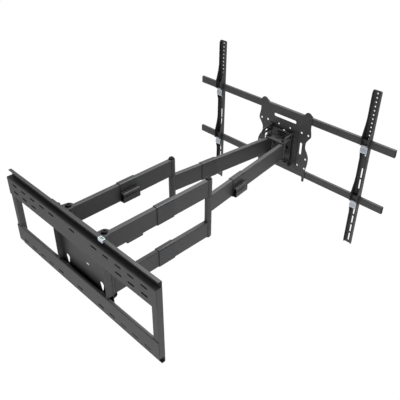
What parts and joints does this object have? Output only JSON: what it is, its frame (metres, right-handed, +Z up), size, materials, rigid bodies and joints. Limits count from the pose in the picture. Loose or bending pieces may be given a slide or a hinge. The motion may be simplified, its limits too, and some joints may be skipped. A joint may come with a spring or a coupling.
{
  "type": "full motion tv wall mount",
  "caption": "Dual-arm full motion wall mount: slotted wall plate, two folding double arms with cable clips, swivel and tilt head, two screen rails and hooked screen arms.",
  "frame": {"origin": "on the back face of the upper wall rail, 88 mm above the middle of the wall plate, on its centreline", "axes": "+X along the wall to the right as seen from the room, +Y into the wall, +Z up; the mount reaches along -Y"},
  "size_m": [1.062, 1.1536, 0.738],
  "materials": {
    "coated_steel": "matt black powder coat on pressed steel",
    "black_hardware": "black oxide",
    "clip_plastic": "moulded, fine texture",
    "zinc_plate": "bright zinc plate",
    "level_plastic": "moulded",
    "vial_fluid": "clear"
  },
  "bodies": {
    "wall_plate": {"wall_rail_top": "coated_steel", "wall_rail_bottom": "coated_steel", "wall_side_right": "coated_steel", "wall_side_left": "coated_steel", "centre_plate": "coated_steel", "pivot_shelf_upper": "coated_steel", "pivot_shelf_lower": "coated_steel", "level_body": "level_plastic", "level_vial": "vial_fluid", "plate_bolt_upper_right": "black_hardware", "plate_bolt_lower_right": "black_hardware", "plate_bolt_upper_left": "black_hardware", "plate_bolt_lower_left": "black_hardware", "right_shoulder_bolt": "black_hardware", "left_shoulder_bolt": "black_hardware"},
    "right_wall_arm": {"right_shoulder_barrel": "coated_steel", "right_wall_tube_upper": "coated_steel", "right_wall_tube_lower": "coated_steel", "right_elbow_bolt": "black_hardware", "right_clip_upper": "clip_plastic", "right_clip_lower": "clip_plastic"},
    "right_forearm": {"right_elbow_barrel": "coated_steel", "right_forearm_tube": "coated_steel", "right_elbow_washer_upper": "clip_plastic", "right_elbow_washer_lower": "clip_plastic", "right_clip_forearm": "clip_plastic"},
    "left_wall_arm": {"left_shoulder_barrel": "coated_steel", "left_wall_tube_upper": "coated_steel", "left_wall_tube_lower": "coated_steel", "left_elbow_bolt": "black_hardware", "left_clip_upper": "clip_plastic", "left_clip_lower": "clip_plastic"},
    "left_forearm": {"left_elbow_barrel": "coated_steel", "left_forearm_tube": "coated_steel", "left_elbow_washer_upper": "clip_plastic", "left_elbow_washer_lower": "clip_plastic", "left_clip_forearm": "clip_plastic"},
    "yoke": {"yoke_plate_upper": "coated_steel", "yoke_plate_lower": "coated_steel", "swivel_barrel": "coated_steel", "right_head_bolt": "black_hardware", "left_head_bolt": "black_hardware"},
    "swivel_head": {"swivel_bracket": "coated_steel", "swivel_bolt": "black_hardware", "tilt_shaft": "black_hardware", "tilt_lock_bolt_right": "black_hardware", "tilt_lock_bolt_left": "black_hardware"},
    "screen_frame": {"face_plate": "coated_steel", "tilt_cheek_right": "coated_steel", "tilt_cheek_left": "coated_steel", "screen_rail_upper": "coated_steel", "screen_rail_lower": "coated_steel"},
    "right_screen_arm": {"screen_arm_right": "coated_steel"},
    "upper_lock_right": {"rail_lock_upper_right": "zinc_plate"},
    "lower_lock_right": {"rail_lock_lower_right": "zinc_plate"},
    "left_screen_arm": {"screen_arm_left": "coated_steel"},
    "upper_lock_left": {"rail_lock_upper_left": "zinc_plate"},
    "lower_lock_left": {"rail_lock_lower_left": "zinc_plate"}
  },
  "joints": [
    {"name": "right_shoulder", "type": "hinge", "parent": "wall_plate", "child": "right_wall_arm", "pos_m": [0.104, -0.06, 0], "axis": [0, 0, 1], "range_deg": [0, 82]},
    {"name": "right_elbow", "type": "hinge", "parent": "right_wall_arm", "child": "right_forearm", "pos_m": [0.104, -0.54, 0], "axis": [0, 0, 1], "range_deg": [-157, 0]},
    {"name": "yoke_pivot", "type": "hinge", "parent": "right_forearm", "child": "yoke", "pos_m": [0.04, -1.08123, 0], "axis": [0, 0, 1], "range_deg": [0, 75]},
    {"name": "left_shoulder", "type": "hinge", "parent": "wall_plate", "child": "left_wall_arm", "pos_m": [-0.104, -0.06, 0], "axis": [0, 0, 1], "range_deg": [-82, 0]},
    {"name": "left_elbow", "type": "hinge", "parent": "left_wall_arm", "child": "left_forearm", "pos_m": [-0.104, -0.54, 0], "axis": [0, 0, 1], "range_deg": [0, 157]},
    {"name": "head_swivel", "type": "hinge", "parent": "yoke", "child": "swivel_head", "pos_m": [0, -1.10323, 0], "axis": [0, 0, 1], "range_deg": [-12, 12]},
    {"name": "head_tilt", "type": "hinge", "parent": "swivel_head", "child": "screen_frame", "pos_m": [0, -1.10523, -0.13], "axis": [1, 0, 0], "range_deg": [-5, 15]},
    {"name": "right_arm_slide", "type": "slide", "parent": "screen_frame", "child": "right_screen_arm", "axis": [-1, 0, 0], "range_m": [-0.105, 0.234]},
    {"name": "upper_lock_right_slide", "type": "slide", "parent": "right_screen_arm", "child": "upper_lock_right", "axis": [0, 0, 1], "range_m": [-0.008, 0]},
    {"name": "lower_lock_right_slide", "type": "slide", "parent": "right_screen_arm", "child": "lower_lock_right", "axis": [0, 0, 1], "range_m": [-0.008, 0]},
    {"name": "left_arm_slide", "type": "slide", "parent": "screen_frame", "child": "left_screen_arm", "axis": [1, 0, 0], "range_m": [-0.105, 0.234]},
    {"name": "upper_lock_left_slide", "type": "slide", "parent": "left_screen_arm", "child": "upper_lock_left", "axis": [0, 0, 1], "range_m": [-0.008, 0]},
    {"name": "lower_lock_left_slide", "type": "slide", "parent": "left_screen_arm", "child": "lower_lock_left", "axis": [0, 0, 1], "range_m": [-0.008, 0]}
  ],
  "couplings": [
    {"joint": "right_elbow", "follows": "right_shoulder", "ratio": -1.9095},
    {"joint": "yoke_pivot", "follows": "right_shoulder", "ratio": 0.9095},
    {"joint": "left_shoulder", "follows": "right_shoulder", "ratio": -1},
    {"joint": "left_elbow", "follows": "right_shoulder", "ratio": 1.9095}
  ]
}
